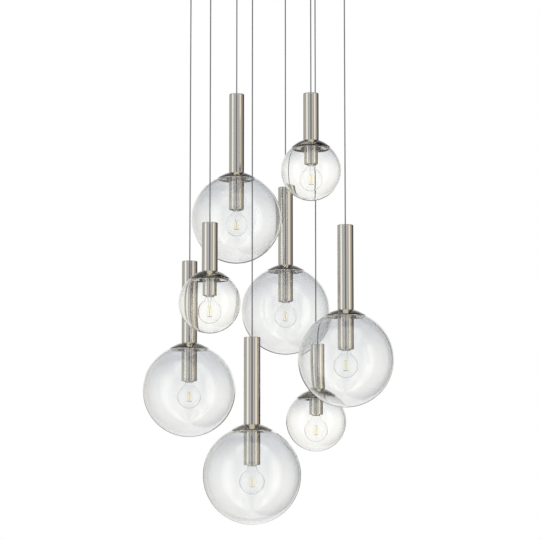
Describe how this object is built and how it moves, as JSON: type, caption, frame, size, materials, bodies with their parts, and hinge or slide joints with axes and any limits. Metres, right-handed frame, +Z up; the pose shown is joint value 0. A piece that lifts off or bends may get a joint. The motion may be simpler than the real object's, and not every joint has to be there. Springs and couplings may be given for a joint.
{
  "type": "cluster pendant light",
  "caption": "Cluster pendant with large and small clear glass globes under nickel stems, hung on straight cords at staggered heights from a round ceiling canopy.",
  "frame": {"origin": "middle of the crossbar's top face, on the ceiling, between the two box screw holes", "axes": "+Z up to the ceiling, +X to the viewer's right, +Y away from the viewer of the picture"},
  "size_m": [0.813, 0.9288, 1.9074],
  "materials": {
    "nickel": "brushed nickel plate",
    "nickel_polished": "polished nickel plate",
    "clear_glass": "clear blown glass",
    "bulb_glass": "thin clear glass over yellow phosphor rods and a nickel base",
    "cord": "smooth matte grey jacket",
    "nylon": "natural nylon",
    "zinc_steel": "zinc-plated steel"
  },
  "bodies": {
    "canopy": {"canopy_pan": "nickel", "crossbar": "zinc_steel", "canopy_screws": "nickel_polished", "cord_collars": "nickel_polished"},
    "bushing_1": {"grip_bushing_1": "nylon"},
    "pendant_1": {"cord_1": "cord", "stem_1": "nickel", "cap_1": "nickel_polished", "glass_globe_1": "clear_glass", "socket_cup_1": "nickel_polished", "bulb_1": "bulb_glass"},
    "bushing_2": {"grip_bushing_2": "nylon"},
    "pendant_2": {"cord_2": "cord", "stem_2": "nickel", "cap_2": "nickel_polished", "glass_globe_2": "clear_glass", "socket_cup_2": "nickel_polished", "bulb_2": "bulb_glass"},
    "bushing_3": {"grip_bushing_3": "nylon"},
    "pendant_3": {"cord_3": "cord", "stem_3": "nickel", "cap_3": "nickel_polished", "glass_globe_3": "clear_glass", "socket_cup_3": "nickel_polished", "bulb_3": "bulb_glass"},
    "bushing_4": {"grip_bushing_4": "nylon"},
    "pendant_4": {"cord_4": "cord", "stem_4": "nickel", "cap_4": "nickel_polished", "glass_globe_4": "clear_glass", "socket_cup_4": "nickel_polished", "bulb_4": "bulb_glass"},
    "bushing_5": {"grip_bushing_5": "nylon"},
    "pendant_5": {"cord_5": "cord", "stem_5": "nickel", "cap_5": "nickel_polished", "glass_globe_5": "clear_glass", "socket_cup_5": "nickel_polished", "bulb_5": "bulb_glass"},
    "bushing_6": {"grip_bushing_6": "nylon"},
    "pendant_6": {"cord_6": "cord", "stem_6": "nickel", "cap_6": "nickel_polished", "glass_globe_6": "clear_glass", "socket_cup_6": "nickel_polished", "bulb_6": "bulb_glass"},
    "bushing_7": {"grip_bushing_7": "nylon"},
    "pendant_7": {"cord_7": "cord", "stem_7": "nickel", "cap_7": "nickel_polished", "glass_globe_7": "clear_glass", "socket_cup_7": "nickel_polished", "bulb_7": "bulb_glass"},
    "bushing_8": {"grip_bushing_8": "nylon"},
    "pendant_8": {"cord_8": "cord", "stem_8": "nickel", "cap_8": "nickel_polished", "glass_globe_8": "clear_glass", "socket_cup_8": "nickel_polished", "bulb_8": "bulb_glass"}
  },
  "joints": [
    {"name": "sway_depth_1", "type": "hinge", "parent": "canopy", "child": "bushing_1", "pos_m": [-0.247, 0.05, -0.053], "axis": [1, 0, 0], "range_deg": [-3, 3]},
    {"name": "sway_side_1", "type": "hinge", "parent": "bushing_1", "child": "pendant_1", "pos_m": [-0.247, 0.05, -0.053], "axis": [0, 1, 0], "range_deg": [-3, 3]},
    {"name": "sway_depth_2", "type": "hinge", "parent": "canopy", "child": "bushing_2", "pos_m": [-0.175, -0.126, -0.053], "axis": [1, 0, 0], "range_deg": [-3, 3]},
    {"name": "sway_side_2", "type": "hinge", "parent": "bushing_2", "child": "pendant_2", "pos_m": [-0.175, -0.126, -0.053], "axis": [0, 1, 0], "range_deg": [-3, 3]},
    {"name": "sway_depth_3", "type": "hinge", "parent": "canopy", "child": "bushing_3", "pos_m": [-0.094, 0.174, -0.053], "axis": [1, 0, 0], "range_deg": [-3, 3]},
    {"name": "sway_side_3", "type": "hinge", "parent": "bushing_3", "child": "pendant_3", "pos_m": [-0.094, 0.174, -0.053], "axis": [0, 1, 0], "range_deg": [-3, 3]},
    {"name": "sway_depth_4", "type": "hinge", "parent": "canopy", "child": "bushing_4", "pos_m": [-0.036, -0.3, -0.053], "axis": [1, 0, 0], "range_deg": [-3, 3]},
    {"name": "sway_side_4", "type": "hinge", "parent": "bushing_4", "child": "pendant_4", "pos_m": [-0.036, -0.3, -0.053], "axis": [0, 1, 0], "range_deg": [-3, 3]},
    {"name": "sway_depth_5", "type": "hinge", "parent": "canopy", "child": "bushing_5", "pos_m": [0.074, 0.324, -0.053], "axis": [1, 0, 0], "range_deg": [-3, 3]},
    {"name": "sway_side_5", "type": "hinge", "parent": "bushing_5", "child": "pendant_5", "pos_m": [0.074, 0.324, -0.053], "axis": [0, 1, 0], "range_deg": [-3, 3]},
    {"name": "sway_depth_6", "type": "hinge", "parent": "canopy", "child": "bushing_6", "pos_m": [0.156, -0.015, -0.053], "axis": [1, 0, 0], "range_deg": [-3, 3]},
    {"name": "sway_side_6", "type": "hinge", "parent": "bushing_6", "child": "pendant_6", "pos_m": [0.156, -0.015, -0.053], "axis": [0, 1, 0], "range_deg": [-3, 3]},
    {"name": "sway_depth_7", "type": "hinge", "parent": "canopy", "child": "bushing_7", "pos_m": [0.174, 0.133, -0.053], "axis": [1, 0, 0], "range_deg": [-3, 3]},
    {"name": "sway_side_7", "type": "hinge", "parent": "bushing_7", "child": "pendant_7", "pos_m": [0.174, 0.133, -0.053], "axis": [0, 1, 0], "range_deg": [-3, 3]},
    {"name": "sway_depth_8", "type": "hinge", "parent": "canopy", "child": "bushing_8", "pos_m": [0.261, -0.21, -0.053], "axis": [1, 0, 0], "range_deg": [-3, 3]},
    {"name": "sway_side_8", "type": "hinge", "parent": "bushing_8", "child": "pendant_8", "pos_m": [0.261, -0.21, -0.053], "axis": [0, 1, 0], "range_deg": [-3, 3]}
  ]
}
